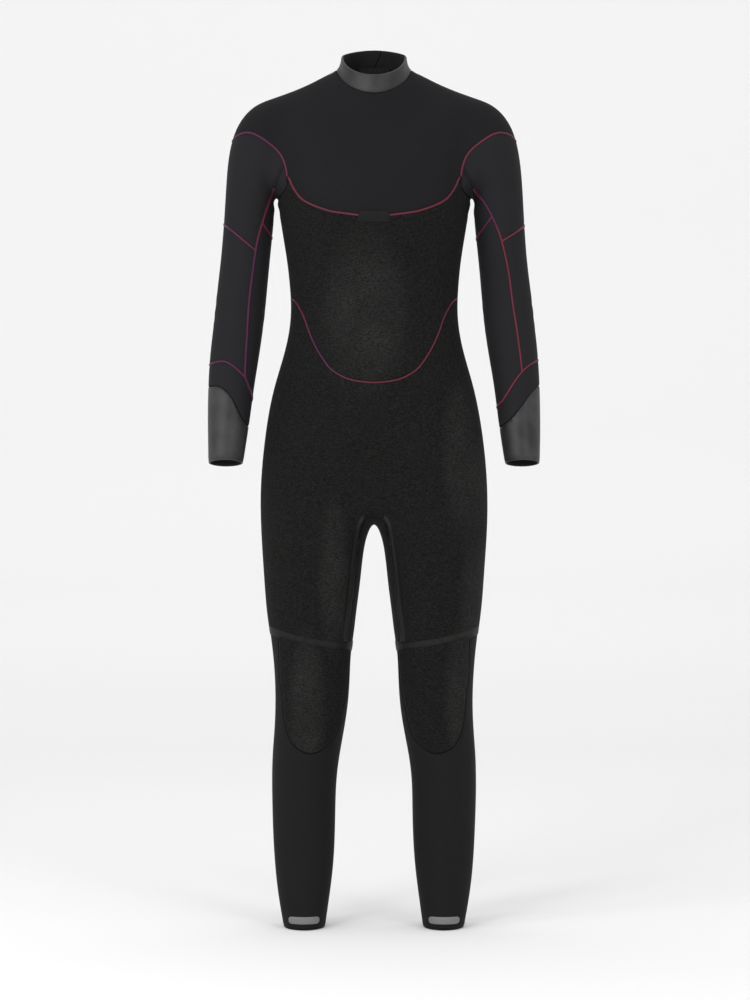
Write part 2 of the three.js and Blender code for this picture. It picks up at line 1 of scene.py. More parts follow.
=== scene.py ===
import math
import bmesh
import bpy
import numpy as np
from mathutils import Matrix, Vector, noise


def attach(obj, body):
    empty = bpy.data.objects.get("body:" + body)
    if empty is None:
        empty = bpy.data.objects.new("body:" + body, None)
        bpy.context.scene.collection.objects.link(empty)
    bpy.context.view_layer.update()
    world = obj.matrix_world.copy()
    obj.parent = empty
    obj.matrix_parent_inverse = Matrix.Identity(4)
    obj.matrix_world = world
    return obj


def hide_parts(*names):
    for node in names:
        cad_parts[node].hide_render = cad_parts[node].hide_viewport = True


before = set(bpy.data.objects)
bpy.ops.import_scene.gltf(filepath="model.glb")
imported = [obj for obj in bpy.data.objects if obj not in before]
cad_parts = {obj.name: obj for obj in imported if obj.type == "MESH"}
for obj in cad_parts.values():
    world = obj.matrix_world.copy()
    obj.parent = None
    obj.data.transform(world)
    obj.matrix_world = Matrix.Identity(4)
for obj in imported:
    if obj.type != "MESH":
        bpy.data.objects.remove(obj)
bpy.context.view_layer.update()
print("frame loaded")

mm = 0.001
depthShift = 7.5  # the skin is drawn with the wearer's middle at y = 0, and set back by this

# ---- camera, floor and light
cameraData = bpy.data.cameras.new("camera")
camera = bpy.data.objects.new("camera", cameraData)
bpy.context.scene.collection.objects.link(camera)
bpy.context.scene.camera = camera
cameraDistance = 4.2
cameraData.sensor_fit = "VERTICAL"
cameraData.sensor_height = 24
cameraData.lens = 24 * cameraDistance / 1.57
camera.location = (0.0015, -cameraDistance, 0.6705)
camera.rotation_euler = (math.radians(90), 0, 0)


def addObject(name, mesh, *materials):
    made = bpy.data.objects.new(name, mesh)
    bpy.context.scene.collection.objects.link(made)
    for material in materials:
        mesh.materials.append(material)
    return made


def areaLight(name, place, target, size, power):
    data = bpy.data.lights.new(name, "AREA")
    data.shape = "RECTANGLE"
    data.size, data.size_y = size
    data.energy = power
    light = bpy.data.objects.new(name, data)
    light.location = place
    light.rotation_euler = (Vector(target) - Vector(place)).to_track_quat("-Z", "Y").to_euler()
    bpy.context.scene.collection.objects.link(light)


# ---- shader helpers
class Value:
    def __init__(self, tree, socket):
        self.tree, self.socket = tree, socket

    def math(self, operation, *others):
        made = self.tree.nodes.new("ShaderNodeMath")
        made.operation = operation
        for place, item in zip(made.inputs, (self, *others)):
            if isinstance(item, Value):
                self.tree.links.new(item.socket, place)
            else:
                place.default_value = item
        return Value(self.tree, made.outputs[0])

    def __add__(self, other):
        return self.math("ADD", other)

    def __mul__(self, other):
        return self.math("MULTIPLY", other)

    def __sub__(self, other):
        return self.math("SUBTRACT", other)

    def __rsub__(self, other):
        return self * -1 + other

    def __truediv__(self, other):
        return self.math("DIVIDE", other)

    __radd__ = __add__
    __rmul__ = __mul__


class Finish:
    def __init__(self, name, **constants):
        self.material = bpy.data.materials.new(name)
        self.material.use_nodes = True
        self.tree = self.material.node_tree
        self.shader = self.tree.nodes["Principled BSDF"]
        for socket, value in constants.items():
            self.shader.inputs[socket.replace("_", " ")].default_value = value
        self.place = self.node("ShaderNodeTexCoord", {}, {}, "Object")

    # any node: its type, its settings, what goes in, and which output is wanted
    def node(self, kind, settings, inputs, output=0):
        made = self.tree.nodes.new(kind)
        for key, value in settings.items():
            setattr(made, key, value)
        for key, value in inputs.items():
            if isinstance(value, Value):
                self.tree.links.new(value.socket, made.inputs[key])
            else:
                made.inputs[key].default_value = value
        return Value(self.tree, made.outputs[output])

    def noise(self, scale, detail=3.0, rough=0.5, place=None):
        inputs = {"Vector": place or self.place, "Scale": scale, "Detail": detail, "Roughness": rough}
        return self.node("ShaderNodeTexNoise", {}, inputs)

    def stretched(self, x, y, z):
        scaling = {"operation": "MULTIPLY"}
        return self.node("ShaderNodeVectorMath", scaling, {0: self.place, 1: (x, y, z)})

    def along(self, axis):
        return self.node("ShaderNodeSeparateXYZ", {}, {0: self.place}, axis)

    def attribute(self, name):
        return self.node("ShaderNodeAttribute", {"attribute_name": name}, {}, "Fac")

    def step(self, value, low, high, start=0.0, end=1.0):
        inputs = {"Value": value, "From Min": low, "From Max": high, "To Min": start, "To Max": end}
        return self.node("ShaderNodeMapRange", {"interpolation_type": "SMOOTHSTEP"}, inputs)

    def mix(self, factor, first, second):
        inputs = {0: factor, 6: (*first, 1) if isinstance(first, tuple) else first}
        inputs[7] = (*second, 1) if isinstance(second, tuple) else second
        return self.node("ShaderNodeMix", {"data_type": "RGBA"}, inputs, 2)

    def bump(self, height, distance, strength=1.0):
        inputs = {"Height": height, "Distance": distance, "Strength": strength}
        return self.node("ShaderNodeBump", {}, inputs)

    def feed(self, **values):
        for socket, value in values.items():
            self.tree.links.new(value.socket, self.shader.inputs[socket.replace("_", " ")])
        return self.material


# the groove where two panels are glued edge to edge; "edge" is the distance to it in millimetres
def groove(finish, width=1.6):
    return finish.step(finish.attribute("edge"), 0.0, width)


def jerseyFinish(name, dark, light):
    f = Finish(name, Specular_IOR_Level=0.07, Sheen_Weight=0.01, Sheen_Roughness=0.5)
    bands = {"Vector": f.place, "Scale": 190.0, "Distortion": 0.6}
    courses = f.node("ShaderNodeTexWave", {"bands_direction": "Z"}, bands)
    wales = f.noise(1.0, 1.0, 0.5, f.stretched(900, 900, 300))
    patches = f.noise(9.0, 4.0, 0.6)
    lint = f.step(f.noise(420.0, 1.0), 0.70, 0.80)
    cloth = f.mix(patches, dark, light)
    cloth = f.mix(lint * 0.3, cloth, (0.030, 0.030, 0.032))
    edge = groove(f, 1.2)
    # painted shade: the cloth is darker in the seam grooves
    colour = f.mix(edge, (0.0062, 0.0062, 0.0068), cloth)
    height = courses * 0.35 + wales * 0.65 + edge * 4.0
    rough = f.step(patches, 0.3, 0.7, 0.70, 0.82)
    return f.feed(Base_Color=colour, Roughness=rough, Normal=f.bump(height, 0.00022, 0.8))


# places where the pile is painted lighter, as sheen on brushed pile: x, z, half width and half height
pileSheenPlaces = [
    (-0.015, 0.960, 0.080, 0.150),
    (-0.062, 0.550, 0.030, 0.140),
    (0.148, 0.745, 0.050, 0.170),
    (-0.104, 0.350, 0.034, 0.140),
    (0.136, 0.360, 0.032, 0.140),
    (0.160, 0.520, 0.034, 0.110),
]


# short pile in level rows
def plushFinish():
    f = Finish("plush", Specular_IOR_Level=0.05, Sheen_Weight=0.015, Sheen_Roughness=0.6)
    rows = f.noise(1.0, 4.0, 0.7, f.stretched(240, 240, 620))
    fibres = f.noise(1500.0, 2.0, 0.7)
    drift = f.noise(14.0, 4.0, 0.6)
    tufts = f.step(rows + (fibres - 0.5) * 0.6, 0.42, 0.63)
    pile = f.mix(tufts, (0.0046, 0.0050, 0.0046), (0.0130, 0.0137, 0.0128))
    x, z = f.along(0), f.along(2)
    pileSheen = 0.0
    for middle, height, wide, tall in pileSheenPlaces:
        away = ((x - middle) * (1 / wide)).math("POWER", 2.0) + ((z - height) * (1 / tall)).math("POWER", 2.0)
        pileSheen = f.step(away, 0.0, 1.0, 1.0, 0.0) + pileSheen
    # painted sheen: the pile is lightened at these places, broken up by the drift and the rows
    pileSheen = pileSheen * f.step(drift, 0.30, 0.70, 0.45, 1.0) * f.step(rows, 0.35, 0.62, 0.25, 1.0)
    pile = f.mix(pileSheen * 0.55, pile, (0.0330, 0.0340, 0.0320))
    edge = groove(f, 2.0)
    # painted shade: the pile is darker in the seam grooves
    colour = f.mix(edge, (0.0062, 0.0068, 0.0062), pile)
    height = rows * 1.0 + fibres * 0.4 + edge * 2.2
    rough = f.step(drift, 0.2, 0.8, 0.88, 0.97)
    return f.feed(Base_Color=colour, Roughness=rough, Normal=f.bump(height, 0.0005, 0.7))


def smoothFinish():
    f = Finish("smoothskin", Specular_IOR_Level=0.3)
    skin = f.noise(1.0, 3.0, 0.6, f.stretched(700, 700, 500))
    cloudsAndHighlights = f.noise(22.0, 4.0, 0.6)
    scuffs = f.step(f.noise(1.0, 3.0, 0.7, f.stretched(160, 160, 26)), 0.62, 0.80)
    # random cloudy tone, its lighter patches also standing as painted highlights
    rubber = f.mix(f.step(cloudsAndHighlights, 0.32, 0.68), (0.0135, 0.0135, 0.014), (0.032, 0.032, 0.0325))
    rubber = f.mix(scuffs * 0.25, rubber, (0.055, 0.055, 0.055))
    edge = groove(f, 1.2)
    # painted highlight: the rubber is lighter along the seam edges
    colour = f.mix(edge, (0.045, 0.045, 0.045), rubber)
    rough = f.step(cloudsAndHighlights, 0.3, 0.7, 0.44, 0.54) + scuffs * 0.1
    return f.feed(Base_Color=colour, Roughness=rough, Normal=f.bump(skin * 0.5 + edge * 2.0, 0.0002, 0.7))


def liningFinish():
    f = Finish("lining", Sheen_Weight=0.02, Specular_IOR_Level=0.1)
    ribs = f.node("ShaderNodeTexWave", {"bands_direction": "Z"}, {"Vector": f.place, "Scale": 120.0})
    colour = f.mix(f.noise(30.0), (0.0085, 0.0085, 0.0090), (0.0140, 0.0140, 0.0145))
    return f.feed(Base_Color=colour, Roughness=f.step(ribs, 0.0, 1.0, 0.8, 0.9), Normal=f.bump(ribs, 0.0002))


# a bead of liquid rubber; "across" runs from -1 to 1 over its width
def beadFinish(name, middle, other, side):
    f = Finish(name, Specular_IOR_Level=0.08, Coat_Roughness=0.4)
    across = f.attribute("across").math("ABSOLUTE")
    drift = f.noise(1.0, 3.0, 0.6, f.stretched(120, 120, 120))
    # painted shade and highlight: the thin sides take the darker side colour as shade on the rounded flanks,
    # the crown the lighter tape colours as a highlight
    wide = f.step(across + (drift - 0.5) * 0.5, 0.25, 0.85)
    colour = f.mix(wide, f.mix(f.step(f.noise(9.0, 1.0) - f.along(0) * 0.5, 0.42, 0.62), middle, other), side)
    ripple = f.noise(650.0, 2.0)
    rough = f.step(drift, 0.3, 0.7, 0.42, 0.6)
    return f.feed(
        Base_Color=colour,
        Roughness=rough,
        Coat_Weight=f.step(drift, 0.4, 0.6, 0.0, 0.1),
        Normal=f.bump(ripple, 0.0003, 0.5),
    )


def plainFinish(name, colour, roughness, metallic=0.0, grain=500.0, depth=0.0001, gloss=0.3):
    f = Finish(name, Metallic=metallic, Specular_IOR_Level=gloss)
    spots = f.noise(grain, 3.0)
    lighter = tuple(1.35 * c for c in colour)
    return f.feed(
        Base_Color=f.mix(spots, colour, lighter),
        Roughness=f.step(f.noise(60.0), 0.3, 0.7, roughness - 0.06, roughness + 0.06),
        Normal=f.bump(spots, depth, 0.6),
    )


def webbingFinish():
    f = Finish("webbing", Sheen_Weight=0.3, Specular_IOR_Level=0.2)
    twill = f.node("ShaderNodeTexWave", {"bands_direction": "DIAGONAL"}, {"Vector": f.place, "Scale": 420.0})
    ribs = f.node("ShaderNodeTexWave", {"bands_direction": "X"}, {"Vector": f.place, "Scale": 260.0})
    colour = f.mix(twill, (0.006, 0.006, 0.007), (0.016, 0.016, 0.018))
    rough = f.step(ribs, 0.0, 1.0, 0.8, 0.92)
    return f.feed(Base_Color=colour, Roughness=rough, Normal=f.bump(twill + ribs * 0.7, 0.0003))


# seam tapes: two colours along the crown, lit as a painted highlight, and a darker one for the thin sides as
# painted shade on the rounded flanks
tapeColours = {
    "burgundy": ((0.112, 0.021, 0.034), (0.070, 0.019, 0.056), (0.022, 0.005, 0.010)),
    "black": ((0.0122, 0.0126, 0.0117), (0.0100, 0.0104, 0.0098), (0.0035, 0.0036, 0.0035)),
    "inner": ((0.0200, 0.0205, 0.0195), (0.0170, 0.0174, 0.0166), (0.0040, 0.0041, 0.0040)),
}
finishes = {
    "jersey": jerseyFinish("jersey", (0.0080, 0.0080, 0.0090), (0.0113, 0.0113, 0.0126)),
    "sleeve": jerseyFinish("sleeve_jersey", (0.0112, 0.0112, 0.0126), (0.0165, 0.0164, 0.0180)),
    "leg": jerseyFinish("leg_jersey", (0.0080, 0.0084, 0.0080), (0.0112, 0.0117, 0.0112)),
    "plush": plushFinish(),
    "smooth": smoothFinish(),
    "lining": liningFinish(),
    **{key: beadFinish(f"{key}_tape", *colours) for key, colours in tapeColours.items()},
    "rubber": plainFinish("rubber_trim", (0.13, 0.13, 0.13), 0.5, 0.0, 700.0, 0.0004),
    "label": plainFinish("label", (0.0100, 0.0102, 0.0100), 0.8, 0.0, 900.0, 0.0002, 0.06),
    "flap": plainFinish("smoothskin_flap", (0.0075, 0.0075, 0.008), 0.6, 0.0, 300.0, 0.0002, 0.1),
    "webbing": webbingFinish(),
    "thread": plainFinish("thread", (0.016, 0.016, 0.018), 0.65, 0.0, 2500.0, 0.0001, 0.1),
    "nylon": plainFinish("zip_nylon", (0.011, 0.011, 0.012), 0.42),
    "metal": plainFinish("zip_metal", (0.09, 0.09, 0.10), 0.36, 0.85, 900.0, 0.00004),
}
print("finishes made")

# ---- the skin of the whole suit: a coarse cage of rings, smoothed by subdivision
torsoColumns = 24
armColumns = 14
legColumns = 16
collarRow = 19
zipLine = {"top": 1320, "height": 1305, "depth": 66, "lean": 0.052, "length": 438, "slit": 9}


def backLine(z):
    return zipLine["depth"] + (zipLine["height"] - z) * zipLine["lean"]


# height at the front, side and back, half width, depth of the side, front, its swell, back, its swell
torso = [
    (656, 656, 656, 178, 4, -80, 13, 66, 26),
    (700, 700, 700, 177, 6, -87, 8, 82, 24),
    (750, 750, 750, 173, 8, -92, 4, 93, 23),
    (800, 800, 800, 166.5, 8, -95, 2, 96, 17),
    (845, 845, 845, 157.5, 8, -94, 0, backLine(845) + 1, 9),
    (885, 885, 885, 145, 7, -91, 0, backLine(885), 5),
    (925, 925, 925, 134, 6, -87, 0, backLine(925), 4),
    (965, 965, 965, 129, 5, -84, 0, backLine(965), 4),
    (1005, 1005, 1005, 131, 5, -86, 0, backLine(1005), 5),
    (1045, 1045, 1045, 135, 5, -94, 1, backLine(1045), 8),
    (1085, 1085, 1085, 142, 6, -104, 4, backLine(1085), 12),
    (1115, 1115, 1115, 147, 6, -110, 7, backLine(1115), 15),
    (1141, 1149, 1141, 152, 7, -112, 9, backLine(1141), 18),
    (1166, 1182, 1172, 158, 8, -106, 8, backLine(1172), 20),
    (1192, 1238, 1204, 163, 8, -96, 5, backLine(1204), 20),
    (1218, 1304, 1240, 161, 8, -84, 2, backLine(1240), 16),
    (1240, 1315.5, 1266, 127, 7, -73, 0, backLine(1266), 11),
    (1260, 1328, 1290, 97, 5, -65, 0, backLine(1290), 6),
    (1281, 1340, 1314, 73, 2, -61, 0, backLine(1314), 6),
    (1302.5, 1348, 1338, 57, 0, -62, 0, backLine(1338), 6),
    (1316, 1358, 1363, 52, -4, -62, 0, 58, 5),
    (1329, 1366, 1386, 51, -7, -63, 0, 50, 4),
]
armhole = {"low": 12, "high": 15, "first": 4, "last": 8}
# armpit-side x and z, outer x and z, front, back, lean in degrees
sleeve = [
    (157, 1142, 192, 1290, -58, 62, 0),
    (157, 1131, 218, 1257, -56, 59, 0),
    (157, 1120, 229, 1212, -52, 55, 0),
    (158, 1108, 233, 1165, -48, 52, 0),
    (160, 1088, 236, 1110, -45, 50, 0),
    (165, 1045, 240.5, 1050, -41, 49, 0),
    (169, 995, 247.5, 995, -37, 48, 2),
    (173, 950, 252, 948, -38, 45, 5),
    (180, 900, 258, 895, -46, 36, 9),
    (188, 850, 259.5, 845, -58, 19, 12),
    (194, 793, 259.5, 791, -68, -2, 11.5),
    (203.5, 728, 257.5, 728, -78, -20, 10),
]
# height, inner x, outer x, front, back
leg = [
    (612, 13, 176, -90, 84),
    (579, 18, 173.5, -90, 82),
    (540, 22, 171, -88, 78),
    (500, 27.5, 168, -84, 70),
    (466, 31, 163, -79, 62),
    (446, 34, 160.5, -76, 57),
    (425, 37, 158, -75, 53),
    (390, 38, 155.5, -73, 50),
    (350, 40.5, 154.5, -70, 49),
    (310, 47, 156, -63, 54),
    (270, 55, 159.5, -54, 62),
    (230, 60, 161, -46, 68),
    (180, 61, 160.5, -40, 67),
    (130, 62, 158.5, -36, 60),
    (85, 65, 155, -34, 54),
    (45, 70.5, 150, -36, 50),
    (0, 77, 142, -38, 50),
]
crotch = [(0, 38, 642), (0, 2, 641), (0, -36, 642)]


# subdivision draws a ring in a little, so each ring starts that much larger
def swell(count):
    return 3 / (2 + math.cos(2 * math.pi / count))


def torsoPoint(row, column):
    front, side, back, half, mid, frontDepth, frontSwell, backDepth, backSwell = torso[row]
    angle = 2 * math.pi * column / torsoColumns
    across, ahead = math.sin(angle), math.cos(angle)
    bulge = math.sin(2 * angle) ** 2
    if ahead > 0:
        y = mid + (frontDepth - mid) * ahead - frontSwell * bulge
    else:
        y = mid - (backDepth - mid) * ahead + backSwell * bulge
    middle = front if ahead > 0 else back
    grow = swell(torsoColumns)
    rise = across**2 if row < collarRow else 1 - abs(ahead)  # the collar's rings are flat
    return (half * across * grow, mid + (y - mid) * grow, middle + (side - middle) * rise)


def sleevePoint(ring, index, side):
    innerX, innerZ, outerX, outerZ, front, back, lean = sleeve[ring]
    angle = 2 * math.pi * index / armColumns
    grow = swell(armColumns)
    inward = math.cos(angle) / 2 * grow
    depth = (back - front) / 2 * math.sin(angle) * grow
    x = (innerX + outerX) / 2 + (innerX - outerX) * inward
    z = (innerZ + outerZ) / 2 + (innerZ - outerZ) * inward
    return (side * x, (front + back) / 2 + depth, z - depth * math.tan(math.radians(lean)))


def legPoint(ring, index, side):
    z, inner, outer, front, back = leg[ring]
    angle = 2 * math.pi * (1 / 4 + (index - torsoColumns / 4) / legColumns)
    grow = swell(legColumns)
    x = (inner + outer) / 2 + (outer - inner) / 2 * math.sin(angle) * grow
    return (side * x, (front + back) / 2 - (back - front) / 2 * math.cos(angle) * grow, z)


def buildCage():
    points, rows, faces = [], [], []

    def add(point, row=0.0):
        points.append(point)
        rows.append(float(row))
        return len(points) - 1

    def face(a, b, c, d, winding=1):
        faces.append((a, b, c, d) if winding > 0 else (d, c, b, a))

    low, high, first, last = armhole.values()
    grid = []
    for row in range(len(torso)):
        ring = []
        for column in range(torsoColumns):
            near = min(column, torsoColumns - column)
            inHole = low < row < high and first < near < last
            ring.append(None if inHole else add(torsoPoint(row, column), row))
        grid.append(ring)

    def at(row, column):
        return grid[row][column % torsoColumns]

    for row in range(len(torso) - 1):
        for column in range(torsoColumns):
            near = min(column, torsoColumns - 1 - column)
            if not (low <= row < high and first <= near < last):
                face(at(row, column), at(row, column + 1), at(row + 1, column + 1), at(row + 1, column))

    def tube(above, rings, count, pointAt, side, winding):
        for ring in range(rings):
            below = [add(pointAt(ring, i, side)) for i in range(count)]
            for i in range(count):
                j = (i + 1) % count
                face(below[i], below[j], above[j], above[i], winding)
            above = below

    middle = (first + last) // 2
    for side in (1, -1):
        hole = [at(low, side * c) for c in range(middle, last + 1)]
        hole += [at(r, side * last) for r in range(low + 1, high)]
        hole += [at(high, side * c) for c in range(last, first - 1, -1)]
        hole += [at(r, side * first) for r in range(high - 1, low, -1)]
        hole += [at(low, side * c) for c in range(first, middle)]
        tube(hole, len(sleeve), armColumns, sleevePoint, side, -side)
    saddle = [add(point) for point in crotch]
    for side in (1, -1):
        top = [at(0, side * c) for c in range(torsoColumns // 2 + 1)]
        tube(top + saddle, len(leg), legColumns, legPoint, side, side)
    return points, rows, faces


def smoothSkin(levels):
    points, rows, faces = buildCage()
    mesh = bpy.data.meshes.new("cage")
    mesh.from_pydata(points, [], faces)
    mesh.attributes.new("row", "FLOAT", "POINT").data.foreach_set("value", rows)
    cage = addObject("cage", mesh)
    subdivision = cage.modifiers.new("smooth", "SUBSURF")
    subdivision.levels = subdivision.render_levels = levels
    shown = cage.evaluated_get(bpy.context.evaluated_depsgraph_get())
    fine = bpy.data.meshes.new_from_object(shown)
    bpy.data.objects.remove(cage)
    count = len(fine.vertices)
    place, normal, row = np.zeros(count * 3), np.zeros(count * 3), np.zeros(count)
    fine.vertices.foreach_get("co", place)
    fine.vertices.foreach_get("normal", normal)
    fine.attributes["row"].data.foreach_get("value", row)
    corners = np.zeros(len(fine.polygons) * 4, int)
    fine.polygons.foreach_get("vertices", corners)
    return place.reshape(-1, 3), normal.reshape(-1, 3), row, corners.reshape(-1, 4)


skinPlace, skinNormal, skinRow, skinFaces = smoothSkin(3)
print("skin", len(skinPlace), "points")

# soft hollows and creases where the cloth gathers: elbows, armpits, crotch, backs of the knees
creases = [
    # centre, reach, direction the folds run across, spacing, depth
    ((215, 10, 965), (60, 70, 60), (0.1, -0.4, 1.0), 21, 0.8),
    ((160, 0, 1150), (50, 70, 50), (0.8, 0.0, 0.6), 19, 0.9),
    ((45, -60, 650), (80, 60, 50), (0.5, 0.0, 0.9), 24, 0.9),
    ((97, 50, 360), (70, 50, 60), (0.0, 0.3, 1.0), 20, 1.0),
    ((0, 70, 930), (120, 50, 70), (0.0, 0.2, 1.0), 26, 0.9),
]


def creaseHeight(point):
    x, y, z = abs(point[0]), point[1], point[2]
    height = 0.0
    for centre, reach, across, spacing, depth in creases:
        away = sum(((a - b) / c) ** 2 for a, b, c in zip((x, y, z), centre, reach))
        if away < 1:
            wander = 9 * noise.noise(Vector((point[0] / 45, y / 45, z / 45)))
            along = x * across[0] + y * across[1] + z * across[2] + wander
            height += depth * (1 - away) ** 2 * math.sin(2 * math.pi * along / spacing)
    broad = noise.noise(Vector((point[0] / 85, y / 85, z / 110)))
    return height + 0.7 * broad


skinPlace = skinPlace + skinNormal * np.array([[creaseHeight(p)] for p in skinPlace])
print("creases pressed in")


# ---- seams, as fields over the skin: a distance in millimetres, positive on the inner side
def smoothLine(points, steps):
    line = []
    last = len(points) - 1
    for k in range(steps + 1):
        t = last * k / steps
        i = min(int(t), last - 1)
        t -= i
        p0, p1 = np.array(points[max(i - 1, 0)], float), np.array(points[i], float)
        p2, p3 = np.array(points[i + 1], float), np.array(points[min(i + 2, last)], float)
        v0, v1 = (p2 - p0) / 2, (p3 - p1) / 2
        cubed, squared = 2 * p1 - 2 * p2 + v0 + v1, -3 * p1 + 3 * p2 - 2 * v0 - v1
        line.append(cubed * t**3 + squared * t**2 + v0 * t + p1)
    return np.array(line)


def seamAt(line, x, z):
    best = np.full(len(x), np.inf)
    signed = np.zeros(len(x))
    for a, b in zip(line[:-1], line[1:]):
        dx, dz = b - a
        t = np.clip(((x - a[0]) * dx + (z - a[1]) * dz) / (dx * dx + dz * dz), 0, 1)
        away = np.hypot(x - a[0] - t * dx, z - a[1] - t * dz)
        square = (dx * (z - a[1]) - dz * (x - a[0])) / math.hypot(dx, dz)
        wins = (away < best - 1e-6) | ((away < best + 1e-6) & (np.abs(square) > np.abs(signed)))
        signed = np.where(wins, square, signed)
        best = np.minimum(best, away)
    return np.sign(signed) * best


def seam(points, inside):
    line = smoothLine(points, 6 * len(points))
    start = line[0] + (line[0] - line[1]) / np.linalg.norm(line[0] - line[1]) * 400
    end = line[-1] + (line[-1] - line[-2]) / np.linalg.norm(line[-1] - line[-2]) * 400
    line = np.vstack([start, line, end])
    sign = np.sign(seamAt(line, np.array([float(inside[0])]), np.array([float(inside[1])]))[0])
    return sign * seamAt(line, np.abs(skinPlace[:, 0]), skinPlace[:, 2])


skinX, skinY, skinZ = skinPlace.T
isSleeve = seam([(245, 1228), (222, 1235), (212, 1240), (199, 1242), (186, 1239), (168, 1228), (152, 1215),
                 (143, 1203), (138, 1190), (135, 1174), (135, 1156), (143, 1146), (151, 1139), (151, 1112),
                 (150, 1000), (160, 900), (180, 800), (192, 700)], (240, 1000))
aboveChest = seam([(0, 1105.5), (25, 1107.5), (62, 1113), (77, 1117.5), (92, 1123.5), (108, 1132.5),
                   (118, 1143), (127, 1158), (134, 1171), (160, 1179)], (0, 1200))
aboveBelly = seam([(0, 851), (19, 852.5), (37, 856), (53, 863), (69, 875), (86, 900), (98, 925), (108, 953),
                   (117, 972), (127, 985), (150, 992)], (0, 1000))
aboveLumbar = seam([(0, 868), (40, 872), (90, 890), (150, 925)], (0, 1000))
aboveSeatFold = seam([(0, 612), (50, 596), (100, 598), (180, 622)], (0, 800))
aboveKnee = seam([(20, 440), (45, 443.5), (70, 447.5), (100, 453), (130, 460), (165, 469)], (100, 600))
inGusset = seam([(0, 644), (10, 642), (18, 632), (23.5, 606), (28, 575), (34, 515), (40, 466), (42, 430)],
                (0, 500))
inKneepad = np.minimum(
    seam([(148, 478), (147, 399), (143, 371), (141, 341), (137, 317), (131, 299), (121, 286), (102, 277),
          (85, 280), (69, 292), (58, 309), (50, 343), (44, 371), (40, 399), (36, 478)], (100, 350)),
    -10 - skinY)
besideZip = np.abs(skinX) - zipLine["slit"]
ringGap = np.interp(skinY, [-50, 50], [13.5, 25])  # the rings stand wider apart at the nape
isCollar = (skinRow - collarRow) * ringGap
collarSide = skinY - 2
collarSplit = skinX - 0.5 * (skinZ - 1358)  # the closing edge leans across the nape
# depth of the side seam at several heights
sideSeam = {0: 14, 250: 20, 450: 4, 650: 16, 965: 24, 1140: 30, 1300: 30, 1325: 8, 1345: 0}
isFront = np.interp(skinZ, list(sideSeam), list(sideSeam.values())) - skinY
isBack = -isFront
isBody = -isSleeve

# the two sleeves are turned a little differently on the arms
sleeveSeams = {
    "left": {
        "isOuter": seam([(150, 1165), (157, 1153), (170, 1136), (183, 1113), (194, 1088), (200, 1069),
                         (209, 1029), (216, 978), (223, 931), (229, 880), (230, 865)], (250, 1000)),
        "aboveElbow": seam([(236, 1101), (220, 1087), (200, 1074)], (250, 1200)),
        "aboveInnerElbow": seam([(183, 1111), (168, 1091), (160, 1080)], (150, 1160)),
        "aboveWrist": seam([(254, 888), (244, 882), (231, 871), (218, 854), (201, 827), (192, 816)],
                           (220, 1000)),
        "aboveCuff": seam([(256, 847), (243, 834), (229, 816), (217, 802), (207, 792), (194, 782)],
                          (220, 1000)),
    },
    "right": {
        "isOuter": seam([(152, 1165), (161, 1143), (173, 1106), (182, 1073), (188, 1035), (195, 978),
                         (198, 925), (200, 886), (201, 855)], (250, 1000)),
        "aboveElbow": seam([(230, 1098), (206, 1077), (184, 1059)], (250, 1200)),
        "aboveInnerElbow": seam([(174, 1103), (166, 1090), (158, 1079)], (150, 1160)),
        "aboveWrist": seam([(255, 883), (240, 886), (230, 885), (218, 878), (207, 868), (200, 860),
                           (196, 849), (189, 826), (184, 811)], (220, 1000)),
        "aboveCuff": seam([(256, 847), (244, 847), (232, 841), (221, 829), (212, 813), (205, 798),
                          (199, 789), (190, 780)], (220, 1000)),
    },
}
onSide = {"left": skinX, "right": -skinX}
print("seams laid out")


def addValues(mesh, name, values):
    attribute = mesh.attributes.new(name, "FLOAT", "POINT")
    attribute.data.foreach_set("value", np.concatenate(values))


